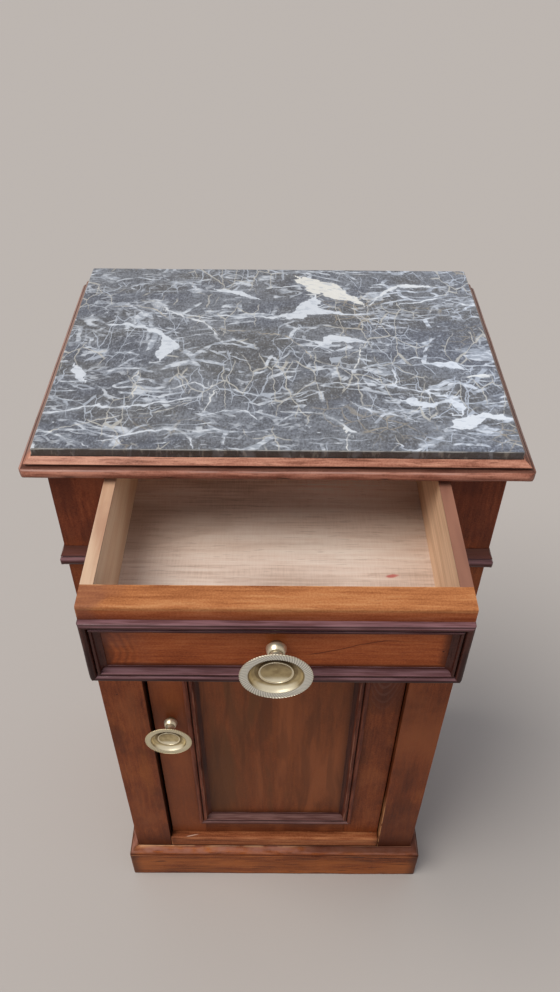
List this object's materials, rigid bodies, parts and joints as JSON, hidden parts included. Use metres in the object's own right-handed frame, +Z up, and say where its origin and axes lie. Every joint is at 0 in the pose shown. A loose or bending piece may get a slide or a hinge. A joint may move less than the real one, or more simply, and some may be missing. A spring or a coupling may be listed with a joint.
{
  "type": "nightstand",
  "caption": "Veneered nightstand: marble top in a moulded frame, drawer with a round brass knob, framed panel door with a turning knob, waist moulding and plinth.",
  "frame": {"origin": "on the floor under the middle of the footprint, with the drawer open as at rest", "axes": "+Z up, +Y towards the back, +X to the right as seen from in front"},
  "size_m": [0.4204, 0.4696, 0.7977],
  "materials": {
    "marble": "polished grey stone with a net of white veins",
    "frame_moulding": "polished reddish wood, worn on the bead",
    "carcase_veneer": "polished reddish brown veneer",
    "drawer_veneer": "polished orange-brown veneer, grain across",
    "door_veneer": "polished figured veneer, grain upright",
    "dark_moulding": "polished dark moulding",
    "worn_strip": "worn polish, lighter",
    "drawer_wood": "bare planed softwood",
    "plain_wood": "bare sawn softwood",
    "brass": "pale patinated brass",
    "iron": "dull steel"
  },
  "bodies": {
    "carcase": {"back_panel": "plain_wood", "back_panel_nails": "iron", "bottom_rail": "worn_strip", "cupboard_floor": "plain_wood", "door_stop": "plain_wood", "drawer_guide_left": "plain_wood", "drawer_guide_right": "plain_wood", "drawer_rail": "carcase_veneer", "drawer_runner_left": "plain_wood", "drawer_runner_right": "plain_wood", "drawer_stops": "plain_wood", "dust_board": "plain_wood", "front_stile_left": "carcase_veneer", "front_stile_right": "carcase_veneer", "glue_blocks": "plain_wood", "hinge_plate_lower": "brass", "hinge_plate_upper": "brass", "hinge_screws_carcase": "iron", "latch_keeper": "plain_wood", "marble_top": "marble", "plinth_front": "carcase_veneer", "plinth_left": "carcase_veneer", "plinth_right": "carcase_veneer", "side_panel_left": "carcase_veneer", "side_panel_right": "carcase_veneer", "top_board": "plain_wood", "top_frame_front": "frame_moulding", "top_frame_left": "frame_moulding", "top_frame_right": "frame_moulding", "waist_moulding_front": "carcase_veneer", "waist_moulding_left": "carcase_veneer", "waist_moulding_right": "carcase_veneer"},
    "drawer": {"drawer_back": "drawer_wood", "drawer_bottom": "drawer_wood", "drawer_bottom_nails": "iron", "drawer_front": "drawer_veneer", "drawer_knob": "brass", "drawer_knob_nut": "iron", "drawer_knob_stud": "iron", "drawer_moulding_bottom": "dark_moulding", "drawer_moulding_left": "dark_moulding", "drawer_moulding_right": "dark_moulding", "drawer_moulding_top": "dark_moulding", "drawer_side_left": "drawer_wood", "drawer_side_right": "drawer_wood"},
    "door": {"door_moulding_bottom": "dark_moulding", "door_moulding_left": "dark_moulding", "door_moulding_right": "dark_moulding", "door_moulding_top": "dark_moulding", "door_panel": "door_veneer", "door_rail_bottom": "door_veneer", "door_rail_top": "door_veneer", "door_stile_left": "door_veneer", "door_stile_right": "door_veneer", "hinge_pivot_upper": "brass", "hinge_pivot_lower": "brass", "hinge_screws_door": "iron"},
    "door_latch": {"door_knob": "brass", "latch_spindle": "brass", "latch_tongue": "brass"}
  },
  "joints": [
    {"name": "drawer_slide", "type": "slide", "parent": "carcase", "child": "drawer", "axis": [0, -1, 0], "range_m": [-0.145, 0.05]},
    {"name": "door_swing", "type": "hinge", "parent": "carcase", "child": "door", "pos_m": [0.13404, -0.0479, 0], "axis": [0, 0, 1], "range_deg": [0, 105]},
    {"name": "knob_turn", "type": "hinge", "parent": "door", "child": "door_latch", "pos_m": [-0.121, -0.0524, 0.38], "axis": [0, 1, 0], "range_deg": [0, 90]}
  ]
}
